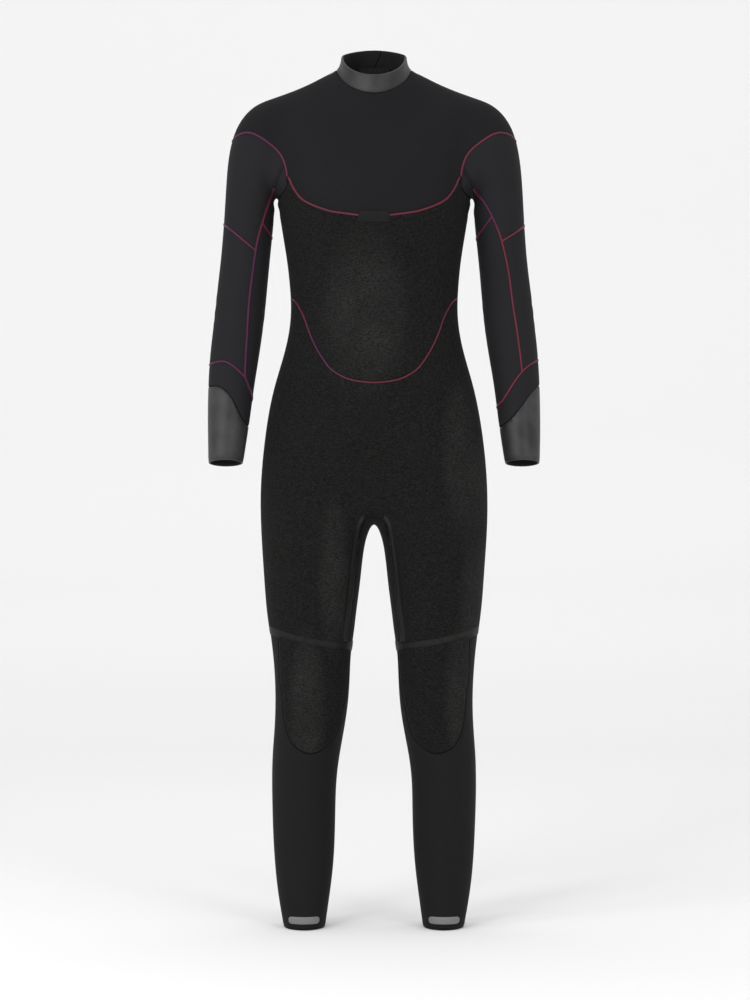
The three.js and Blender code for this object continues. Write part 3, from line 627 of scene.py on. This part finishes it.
# ---- cutting panels out of the skin
class Patch:
    def __init__(self, fields, splits=()):
        self.fields = np.array([*fields, *splits])
        self.keep = len(fields)
        self.known = {}
        self.place, self.normal, self.values = [], [], []
        kept = self.fields[: self.keep]
        low = kept[:, skinFaces].min(axis=2).min(axis=0)
        high = kept[:, skinFaces].max(axis=2).min(axis=0)
        cut = (high > 0) & (low <= 0.02)
        if len(splits):
            split = self.fields[self.keep :][:, skinFaces]
            cut |= (high > 0) & ((split.min(axis=2) < 0) & (split.max(axis=2) > 0)).any(axis=0)
        self.faces = [[self.corner(i) for i in face] for face in skinFaces[(low > 0.02) & ~cut]]
        for face in skinFaces[cut]:
            self.clipFace([self.corner(i) for i in face])

    def corner(self, i):
        if i not in self.known:
            self.known[i] = self.store(skinPlace[i], skinNormal[i], self.fields[:, i].copy())
        return self.known[i]

    def store(self, place, normal, values):
        values[np.abs(values) < 0.02] = -0.02
        self.place.append(place)
        self.normal.append(normal)
        self.values.append(values)
        return len(self.place) - 1

    def between(self, a, b, number):
        key = (min(a, b), max(a, b), number)
        if key not in self.known:
            a, b = key[:2]
            share = self.values[a][number] / (self.values[a][number] - self.values[b][number])
            mixed = [self.place, self.normal, self.values]
            place, normal, values = (m[a] + (m[b] - m[a]) * share for m in mixed)
            values[number] = 0.0
            self.known[key] = len(self.place)
            self.place.append(place)
            self.normal.append(normal / np.linalg.norm(normal))
            self.values.append(values)
        return self.known[key]

    def part(self, face, number, sign):
        out = []
        for a, b in zip(face, face[1:] + face[:1]):
            u, v = sign * self.values[a][number], sign * self.values[b][number]
            if u >= 0:
                out.append(a)
            if u * v < 0:
                out.append(self.between(a, b, number))
        useful = any(sign * self.values[i][number] > 0 for i in out)
        return out if len(out) > 2 and useful else []

    def clipFace(self, face):
        for number in range(self.keep):
            face = self.part(face, number, 1)
            if not face:
                return
        pieces = [face]
        for number in range(self.keep, len(self.fields)):
            halves = [self.part(piece, number, sign) for piece in pieces for sign in (1, -1)]
            pieces = [half for half in halves if half]
        self.faces += pieces

    # the corners that the cut faces use, in order
    def used(self):
        return sorted({i for face in self.faces for i in face})

    # a closed piece with a rounded rim, from the heights of its two faces above the skin
    def shell(self, name, low, high, rim=0.5, tuck=0.6, across=None):
        used = self.used()
        index = {i: k for k, i in enumerate(used)}
        place = np.array([self.place[i] for i in used])
        normal = np.array([self.normal[i] for i in used])
        faces = [[index[i] for i in face] for face in self.faces]
        count = len(used)
        edges = {}
        for face in faces:
            for a, b in zip(face, face[1:] + face[:1]):
                if edges.pop((b, a), None) is None:
                    edges[(a, b)] = True
        outward = np.zeros((count, 3))
        for a, b in edges:
            side = np.cross(place[b] - place[a], normal[a] + normal[b])
            side /= max(np.linalg.norm(side), 1e-9)
            outward[a] += side
            outward[b] += side
        length = np.linalg.norm(outward, axis=1)
        onRim = length > 1e-6
        outward[onRim] /= length[onRim][:, None]
        low = np.broadcast_to(low, count).astype(float) + tuck * onRim
        high = np.broadcast_to(high, count).astype(float) - tuck * onRim
        middle = (low + high) / 2
        outer = place + normal * high[:, None]
        inner = place + normal * low[:, None]
        ring = sorted({i for edge in edges for i in edge})
        ringIndex = {i: 2 * count + k for k, i in enumerate(ring)}
        bulge = np.array([place[i] + normal[i] * middle[i] + outward[i] * rim for i in ring])
        points = np.vstack([outer, inner, bulge.reshape(-1, 3)])
        allFaces = faces + [[i + count for i in reversed(face)] for face in faces]
        for a, b in edges:
            allFaces.append([b, a, ringIndex[a], ringIndex[b]])
            allFaces.append([ringIndex[b], ringIndex[a], a + count, b + count])
        points[:, 1] += depthShift
        mesh = bpy.data.meshes.new(name)
        mesh.from_pydata((points * mm).tolist(), [], allFaces)
        values = np.array([self.values[i] for i in used])
        edge = np.where(onRim, 0.0, np.clip(values[:, : self.keep].min(axis=1), 0.3, 40))
        addValues(mesh, "edge", [edge, edge, np.zeros(len(ring))])
        if across is not None:
            addValues(mesh, "across", [across, across, across[ring]])
        inside = np.zeros(len(allFaces), int)
        inside[len(faces) : 2 * len(faces)] = 1
        mesh.polygons.foreach_set("material_index", inside)
        mesh.polygons.foreach_set("use_smooth", np.ones(len(allFaces), bool))
        mesh.update()
        self.area = sum(p.area for p in mesh.polygons[: len(faces)])
        return mesh


wall = 3.5
halfSlit = 0.5
fullness = 0.8  # the share of its flat rectangle that a panel fills
sheets = []


def cutPanel(spec):
    patch = Patch([field - halfSlit for field in spec["fields"]])
    mesh = patch.shell(spec["node"], -wall, spec["stand"])
    piece = addObject(spec["node"] + "_cloth", mesh, finishes[spec["finish"]], finishes["lining"])
    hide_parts(spec["node"])
    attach(piece, "suit")
    tall = max(piece.dimensions[2], piece.dimensions[0], 0.02)
    flat = (round(patch.area / tall / fullness, 3), round(tall, 3))
    neighbours = () if spec["node"] == "yoke" else ["yoke_cloth"]
    sheets.append((spec["node"], flat))


def bead(spec):
    half, line = spec["half"], spec["along"]
    patch = Patch([half + line, half - line, *spec["fields"]], [line])
    across = np.array([patch.values[i][0] / half - 1 for i in patch.used()])
    crown = spec["rise"] * np.sqrt(np.clip(1 - across**2, 0, 1))
    low, high = spec["base"] - 0.2, spec["base"] + 0.15 + crown
    mesh = patch.shell(spec["name"], low, high, 0.05, 0.0, across)
    piece = addObject(spec["name"] + "_bead", mesh, finishes[spec["finish"]], finishes[spec["finish"]])
    if spec["name"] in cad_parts:
        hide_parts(spec["name"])
    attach(piece, "suit")


jerseyPanels = {
    "yoke": [isBody, -isCollar, isFront, aboveChest],
    "gusset": [isBody, inGusset, aboveKnee],
    "seat_panel": [isBody, isBack, -aboveLumbar, -inGusset, aboveSeatFold],
}
plushPanels = {
    "chest_panel": [isBody, isFront, -aboveChest, aboveBelly],
    "front_legs_panel": [isBody, isFront, -aboveBelly, -inGusset, aboveKnee],
}
smoothPanels = {"collar_front": [isCollar, -collarSide]}
for side, own in onSide.items():
    s = sleeveSeams[side]
    upper = [isSleeve, own, s["aboveWrist"]]
    jerseyPanels |= {
        f"{side}_back_panel": [isBody, own, isBack, -isCollar, aboveLumbar, besideZip],
        f"{side}_back_thigh": [isBody, own, isBack, -aboveSeatFold, -inGusset, aboveKnee],
        f"{side}_shin_panel": [isBody, own, isFront, -aboveKnee, -inKneepad],
        f"{side}_calf_panel": [isBody, own, isBack, -aboveKnee],
        f"{side}_collar_back": [isCollar, collarSide, collarSplit if side == "left" else -collarSplit],
        f"{side}_upper_sleeve": [*upper, s["isOuter"], s["aboveElbow"]],
        f"{side}_underarm": [*upper, -s["isOuter"], s["aboveInnerElbow"]],
        f"{side}_outer_forearm": [*upper, s["isOuter"], -s["aboveElbow"]],
        f"{side}_inner_forearm": [*upper, -s["isOuter"], -s["aboveInnerElbow"]],
        f"{side}_wrist_panel": [isSleeve, own, -s["aboveWrist"], s["aboveCuff"]],
    }
    plushPanels[f"{side}_kneepad"] = [isBody, own, isFront, -aboveKnee, inKneepad]
    smoothPanels[f"{side}_cuff"] = [isSleeve, own, -s["aboveCuff"]]
plushStand = 1.0  # the pile stands this much above the jersey
jerseyKinds = {"upper_sleeve": "sleeve", "underarm": "sleeve", "forearm": "sleeve", "wrist": "sleeve",
               "shin": "leg", "calf": "leg", "gusset": "leg", "thigh": "leg"}
cloths = [("jersey", 0.0, jerseyPanels), ("plush", plushStand, plushPanels), ("smooth", 0.0, smoothPanels)]
for finish, stand, panels in cloths:
    for node, fields in panels.items():
        kind = finish
        if finish == "jersey":
            kind = next((k for word, k in jerseyKinds.items() if word in node), finish)
        cutPanel({"node": node, "finish": kind, "stand": stand, "fields": fields})
print("panels cut", len(sheets))

# ---- seam tapes
label = {"z": 1105.5, "half": 24, "tall": 8.5, "round": 2}
tapeHalf = 2.1
onPlush = 0.7
frontOnly = [isBody, isFront]
for side, own in onSide.items():
    s = sleeveSeams[side]
    beads = [
        ("chest_seam", aboveChest, [*frontOnly, own - label["half"] + 2, -isSleeve - 1], 0.5),
        ("shoulder_seam", isSleeve, [own, skinZ - np.where(skinY > 20, 1148, 1172)], 0.0),
        ("sleeve_seam", s["isOuter"], [own, isSleeve - 1, -skinY - 5, s["aboveWrist"], 1156 - skinZ], 0.0),
        ("elbow_seam", s["aboveElbow"], [own, isSleeve, s["isOuter"]], 0.0),
        ("inner_elbow_seam", s["aboveInnerElbow"], [own, isSleeve, -s["isOuter"]], 0.0),
        ("wrist_seam", s["aboveWrist"], [own, isSleeve], 0.0),
    ]
    for name, along, fields, base in beads:
        bead({"name": f"{side}_{name}", "along": along, "half": tapeHalf, "fields": fields,
              "base": base, "rise": 0.75, "finish": "burgundy"})
    bead({"name": f"{side}_knee_band", "along": aboveKnee, "half": 7.5, "fields": [isBody, own],
          "base": 0.6, "rise": 0.35, "finish": "black"})
    bead({"name": f"{side}_thigh_seam", "along": inGusset + 5.5, "half": 5.0,
          "fields": [*frontOnly, own - 16, aboveKnee - 7.5], "base": 0.8, "rise": 0.35, "finish": "inner"})
    bead({"name": f"{side}_armpit_cover", "along": s["isOuter"], "half": 2.0,
          "fields": [own, isSleeve - 0.5, -skinY - 5, skinZ - 1157],
          "base": 0.0, "rise": 0.25, "finish": "sleeve"})
bead({"name": "belly_seam", "along": aboveBelly, "half": 1.6, "fields": frontOnly,
      "base": onPlush, "rise": 0.6, "finish": "burgundy"})
print("tapes laid")


def roundedBox(x, z, halfWide, halfTall, radius):
    dx, dz = np.abs(x) - halfWide + radius, np.abs(z) - halfTall + radius
    return radius - np.hypot(np.maximum(dx, 0), np.maximum(dz, 0)) - np.minimum(np.maximum(dx, dz), 0)


def badge(spec):
    x, z, halfWide, halfTall, radius = spec["shape"]
    across = np.abs(skinX) - x if spec["mirror"] else skinX - x
    patch = Patch([roundedBox(across, skinZ - z, halfWide, halfTall, radius), *spec["fields"]])
    mesh = patch.shell(spec["node"], spec["base"], spec["base"] + spec["thick"], 0.2, 0.3)
    piece = addObject(spec["node"] + "_piece", mesh, finishes[spec["finish"]], finishes[spec["finish"]])
    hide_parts(spec["node"])
    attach(piece, "suit")


badge({"node": "chest_label", "shape": (0, label["z"], label["half"], label["tall"], label["round"]),
       "mirror": False, "fields": frontOnly, "base": 0.9, "thick": 1.1, "finish": "label"})
for side, own in onSide.items():
    badge({"node": f"{side}_ankle_tab", "shape": (109.5, 14.5, 24, 5.5, 5), "mirror": True,
           "fields": [own, isFront], "base": 0.1, "thick": 1.0, "finish": "rubber"})

# ---- collar tab
tabRoot, tabEnd = -14, 42
inTab = [collarSide, (skinRow - collarRow - 0.25) * 14, (collarRow + 1.45 - skinRow) * 14]


def tabPiece(spec):
    patch = Patch([*inTab, skinX - spec["from"], spec["to"] - skinX])
    x = np.array([patch.place[i][0] for i in patch.used()])
    lift = 0.3 + 2.6 * np.clip((x - tabRoot - 2) / 12, 0, 1) if spec["lifts"] else 0.0
    mesh = patch.shell(spec["node"], lift + spec["low"], lift + spec["high"], 0.3, 0.3)
    piece = addObject(spec["node"] + "_piece", mesh, finishes[spec["finish"]], finishes[spec["lined"]])
    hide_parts(spec["node"])
    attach(piece, spec["body"])


tabPiece({"node": "collar_tab", "from": tabRoot, "to": tabEnd, "lifts": True, "low": 0, "high": 2.4,
          "finish": "smooth", "lined": "lining", "body": "tab"})
tabPiece({"node": "loop_patch", "from": 14, "to": tabEnd - 3, "lifts": False, "low": 0.1, "high": 1.3,
          "finish": "webbing", "lined": "webbing", "body": "suit"})
tabPiece({"node": "hook_patch", "from": 14, "to": tabEnd - 3, "lifts": True, "low": -1.3, "high": -0.1,
          "finish": "webbing", "lined": "webbing", "body": "tab"})
print("collar tab made")

# ---- zip, along its own straight line: x across, out of the back, and down from the top
zipTop = Vector((0, backLine(zipLine["top"]) + depthShift, zipLine["top"])) * mm
tilt = math.atan(zipLine["lean"])
zipDown = Vector((0, math.sin(tilt), -math.cos(tilt)))
zipOut = Vector((0, math.cos(tilt), math.sin(tilt)))


def onZip(x, out, down):
    return zipTop + (Vector((x, 0, 0)) + zipOut * out + zipDown * down) * mm


def strip(spec):
    across, down = spec["across"], spec["down"]
    columns, rows = 8, 60
    points, faces = [], []
    for layer in (0, 1):
        for r in range(rows + 1):
            for c in range(columns + 1):
                x = across[0] + (across[1] - across[0]) * c / columns
                ripple = spec["ripple"] * noise.noise(Vector((x / 9, r / 3, layer * 0.01)))
                out = spec["out"] - layer * spec["thick"] + ripple
                points.append(onZip(x, out, down[0] + (down[1] - down[0]) * r / rows))
    size = (rows + 1) * (columns + 1)
    for r in range(rows):
        for c in range(columns):
            a = r * (columns + 1) + c
            b, d = a + 1, a + columns + 1
            faces += [(a, b, d + 1, d), (d + size, d + 1 + size, b + size, a + size)]
    edge = [r * (columns + 1) for r in range(rows + 1)]
    loop = list(range(columns + 1)) + [e + columns for e in edge[1:]]
    loop += [size - 1 - c for c in range(1, columns + 1)] + edge[-2:0:-1]
    for a, b in zip(loop, loop[1:] + loop[:1]):
        faces.append((b, a, a + size, b + size))
    mesh = bpy.data.meshes.new(spec["name"])
    mesh.from_pydata(points, [], faces)
    build = bmesh.new()
    build.from_mesh(mesh)
    bmesh.ops.recalc_face_normals(build, faces=build.faces)
    build.to_mesh(mesh)
    build.free()
    piece = addObject(spec["name"] + "_cloth", mesh, finishes[spec["finish"]])
    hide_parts(spec["name"])
    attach(piece, "suit")
    wide, long = abs(across[1] - across[0]) * mm, (down[1] - down[0]) * mm
    sheets.append((spec["name"], (wide, long)))


strip({"name": "zip_underflap", "across": (-24, 24), "down": (-38, 438), "out": -12.6, "thick": 2.0,
       "ripple": 0.5, "finish": "flap"})
for side, sign in (("left", 1), ("right", -1)):
    strip({"name": f"{side}_zip_tape", "across": sorted((sign * 4.7, sign * 21)), "down": (-3, 446),
           "out": -5.1, "thick": 0.8, "ripple": 0.1, "finish": "webbing"})
print("zip tapes laid; sheets, width and length in metres:", sheets)


def toothMesh():
    outline = [(0.55, -2.4), (2.0, -2.6), (4.6, -2.0), (4.6, 2.0), (2.0, 2.6), (0.55, 2.4)]
    points, faces = [], []
    for along in (-0.55, 0.55):
        points += [(x * mm, along * mm, out * 0.65 * mm) for x, out in outline]
    n = len(outline)
    faces = [tuple(range(n)), tuple(reversed(range(n, 2 * n)))]
    faces += [(i, i + n, (i + 1) % n + n, (i + 1) % n) for i in range(n)]
    mesh = bpy.data.meshes.new("tooth")
    mesh.from_pydata(points, [], faces)
    build = bmesh.new()
    build.from_mesh(mesh)
    bmesh.ops.recalc_face_normals(build, faces=build.faces)
    bmesh.ops.bevel(build, geom=build.edges[:], offset=0.12 * mm, segments=1, affect="EDGES")
    build.to_mesh(mesh)
    build.free()
    return mesh


def stitchMesh(length, radius):
    build = bmesh.new()
    bmesh.ops.create_icosphere(build, subdivisions=1, radius=1)
    for v in build.verts:
        v.co = Vector((v.co.x * length / 2, v.co.y * radius, v.co.z * radius)) * mm
    mesh = bpy.data.meshes.new("stitch")
    build.to_mesh(mesh)
    build.free()
    return mesh


# copies of a small shape along a line, standing on the line's own normals
def alongTree():
    tree = bpy.data.node_groups.new("copies_along", "GeometryNodeTree")
    tree.is_modifier = True
    face = tree.interface
    face.new_socket("Line", in_out="INPUT", socket_type="NodeSocketGeometry")
    face.new_socket("Copies", in_out="OUTPUT", socket_type="NodeSocketGeometry")
    inputs = [("Shape", "NodeSocketObject"), ("Pitch", "NodeSocketFloat"), ("Turn", "NodeSocketFloat"),
              ("Seed", "NodeSocketInt"), ("Material", "NodeSocketMaterial")]
    for name, kind in inputs:
        face.new_socket(name, in_out="INPUT", socket_type=kind)
    add, link = tree.nodes.new, tree.links.new
    start, end = add("NodeGroupInput"), add("NodeGroupOutput")
    curve = add("GeometryNodeMeshToCurve")
    link(start.outputs["Line"], curve.inputs[0])
    resample = add("GeometryNodeResampleCurve")
    resample.mode = "LENGTH"
    link(curve.outputs[0], resample.inputs["Curve"])
    link(start.outputs["Pitch"], resample.inputs["Length"])
    up = add("GeometryNodeInputNamedAttribute")
    up.data_type = "FLOAT_VECTOR"
    up.inputs["Name"].default_value = "up"
    tangent = add("GeometryNodeInputTangent")
    first = add("FunctionNodeAlignRotationToVector")
    first.axis = "X"
    link(tangent.outputs[0], first.inputs["Vector"])
    second = add("FunctionNodeAlignRotationToVector")
    second.axis, second.pivot_axis = "Z", "X"
    link(first.outputs[0], second.inputs["Rotation"])
    link(up.outputs[0], second.inputs["Vector"])
    wobble = add("FunctionNodeRandomValue")
    wobble.data_type = "FLOAT"
    wobble.inputs[2].default_value, wobble.inputs[3].default_value = -0.06, 0.06
    link(start.outputs["Seed"], wobble.inputs["Seed"])
    total = add("ShaderNodeMath")
    link(start.outputs["Turn"], total.inputs[0])
    link(wobble.outputs[1], total.inputs[1])
    spin = add("ShaderNodeCombineXYZ")
    link(total.outputs[0], spin.inputs["Z"])
    turned = add("FunctionNodeRotateRotation")
    turned.rotation_space = "LOCAL"
    link(second.outputs[0], turned.inputs[0])
    toRotation = add("FunctionNodeEulerToRotation")
    link(spin.outputs[0], toRotation.inputs[0])
    link(toRotation.outputs[0], turned.inputs[1])
    shape = add("GeometryNodeObjectInfo")
    link(start.outputs["Shape"], shape.inputs["Object"])
    place = add("GeometryNodeInstanceOnPoints")
    link(resample.outputs[0], place.inputs["Points"])
    link(shape.outputs["Geometry"], place.inputs["Instance"])
    link(turned.outputs[0], place.inputs["Rotation"])
    solid = add("GeometryNodeRealizeInstances")
    painted = add("GeometryNodeSetMaterial")
    link(place.outputs[0], solid.inputs[0])
    link(solid.outputs[0], painted.inputs["Geometry"])
    link(start.outputs["Material"], painted.inputs["Material"])
    link(painted.outputs[0], end.inputs[0])
    return tree


copiesAlong = alongTree()
shapes = {
    "tooth": addObject("tooth", toothMesh()),
    "stitch": addObject("stitch", stitchMesh(2.6, 0.28)),
}


def copies(spec):
    mesh = bpy.data.meshes.new(spec["name"])
    points, ups, edges = [], [], []
    for line in spec["lines"]:
        begin = len(points)
        points += [p for p, _ in line]
        ups += [u for _, u in line]
        edges += [(begin + i, begin + i + 1) for i in range(len(line) - 1)]
    mesh.from_pydata(points, edges, [])
    up = mesh.attributes.new("up", "FLOAT_VECTOR", "POINT")
    up.data.foreach_set("vector", np.array(ups, float).ravel())
    piece = addObject(spec["name"], mesh)
    modifier = piece.modifiers.new("copies", "NODES")
    modifier.node_group = copiesAlong
    values = {"Shape": shapes[spec["shape"]], "Pitch": spec["pitch"] * mm, "Turn": spec["turn"], "Seed": 3,
              "Material": finishes[spec["finish"]]}
    for item in copiesAlong.interface.items_tree:
        if item.name in values and item.in_out == "INPUT":
            modifier[item.identifier] = values[item.name]
    shown = piece.evaluated_get(bpy.context.evaluated_depsgraph_get())
    made = bpy.data.meshes.new_from_object(shown)
    bpy.data.objects.remove(piece)
    piece = addObject(spec["name"], made)
    if not made.materials:
        made.materials.append(finishes[spec["finish"]])
    if "stands" in spec:
        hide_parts(spec["stands"])
    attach(piece, "suit")


toothPitch = 2.1


def zipRow(x, out, start, end):
    return [(onZip(x, out, start + (end - start) * i / 40), zipOut) for i in range(41)]


for side, sign in (("left", 1), ("right", -1)):
    shift = 0 if sign > 0 else toothPitch / 2
    copies({"name": f"{side}_teeth", "stands": f"{side}_zip_teeth", "shape": "tooth", "pitch": toothPitch,
            "turn": math.radians(90 * sign), "finish": "nylon", "lines": [zipRow(0, -5.5, shift, 437)]})
print("teeth set")


# the line where a field is nought, as points on the skin with their normals
def linesOn(field, fields, height):
    patch = Patch([*fields], [field])
    nextPoint, seen = {}, set()
    for face in patch.faces:
        zero = [i for i in face if abs(patch.values[i][-1]) < 1e-9]
        if len(zero) == 2 and tuple(sorted(zero)) not in seen:
            seen.add(tuple(sorted(zero)))
            nextPoint.setdefault(zero[0], []).append(zero[1])
            nextPoint.setdefault(zero[1], []).append(zero[0])
    lines, used = [], set()
    starts = [i for i, others in nextPoint.items() if len(others) == 1] + list(nextPoint)
    for start in starts:
        if start in used:
            continue
        line, here = [], start
        while here is not None and here not in used:
            used.add(here)
            line.append(here)
            here = next((i for i in nextPoint[here] if i not in used), None)
        if len(line) > 3:
            shift = np.array([0, depthShift, 0])
            lines.append([(Vector((patch.place[i] + patch.normal[i] * height + shift) * mm),
                           Vector(patch.normal[i])) for i in line])
    return lines


stitching = [
    # name, field that is nought along the line, within, height
    ("hem_stitches", skinZ - 5.5, [isBody], 0.1),
    ("upper_hem_stitches", skinZ - 24.0, [isBody], 0.1),
    ("collar_stitches", isCollar - 3.0, [isCollar], 0.1),
    ("collar_low_stitches", isCollar + 3.0, [-isCollar, besideZip - 1], 0.1),
    ("zip_stitches", besideZip - 3.0, [isBody, isBack, aboveLumbar, -isCollar - 3], 0.1),
    ("zip_outer_stitches", besideZip - 10.0, [isBody, isBack, aboveLumbar, -isCollar - 3], 0.1),
    ("seat_stitches", aboveLumbar, [isBody, isBack], 0.1),
    ("thigh_back_stitches", aboveSeatFold, [isBody, isBack, -inGusset], 0.1),
    ("side_stitches", isFront, [isBody, -isCollar], 0.3),
]
for name, field, fields, height in stitching:
    copies({"name": name, "shape": "stitch", "pitch": 3.4, "turn": 0.0, "finish": "thread",
            "lines": linesOn(field, fields, height)})
for shape in shapes.values():
    bpy.data.objects.remove(shape)
print("stitched")

# ---- the zip's metal keeps its own shape and gets its finish
for node in ("zip_slider", "slider_bridge", "zip_pull", "zip_bottom_stop"):
    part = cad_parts[node]
    part.data.materials.clear()
    part.data.materials.append(finishes["metal"])

# ---- floor, backdrop and light
sweep = [(-6.0, -0.001), (3.0, -0.001), (3.6, 0.08), (4.1, 0.4), (4.4, 0.9), (4.5, 1.6), (4.5, 6.0)]
sweepMesh = bpy.data.meshes.new("sweep")
sweepMesh.from_pydata([(x, y, z) for y, z in sweep for x in (-8, 8)], [],
                      [(2 * i, 2 * i + 1, 2 * i + 3, 2 * i + 2) for i in range(len(sweep) - 1)])
for polygon in sweepMesh.polygons:
    polygon.use_smooth = True
paper = Finish("paper", Roughness=0.9, Base_Color=(0.85, 0.85, 0.85, 1))
addObject("sweep", sweepMesh, paper.material)
world = bpy.data.worlds.new("studio")
bpy.context.scene.world = world
world.use_nodes = True
world.node_tree.nodes["Background"].inputs[0].default_value = (1, 1, 1, 1)
world.node_tree.nodes["Background"].inputs[1].default_value = 0.94
bpy.context.scene.view_settings.view_transform = "Standard"
areaLight("key", (-1.5, -2.8, 1.9), (0, 0, 0.9), (0.9, 2.2), 30)
areaLight("fill", (1.7, -2.8, 1.7), (0, 0, 0.8), (0.9, 2.2), 18)
areaLight("side", (-2.2, -1.7, 1.75), (-0.2, 0, 1.15), (0.5, 0.8), 12)
areaLight("backdrop", (0, 1.0, 3.6), (0, 4.3, 0.8), (6, 1.2), 12)
print("studio set")
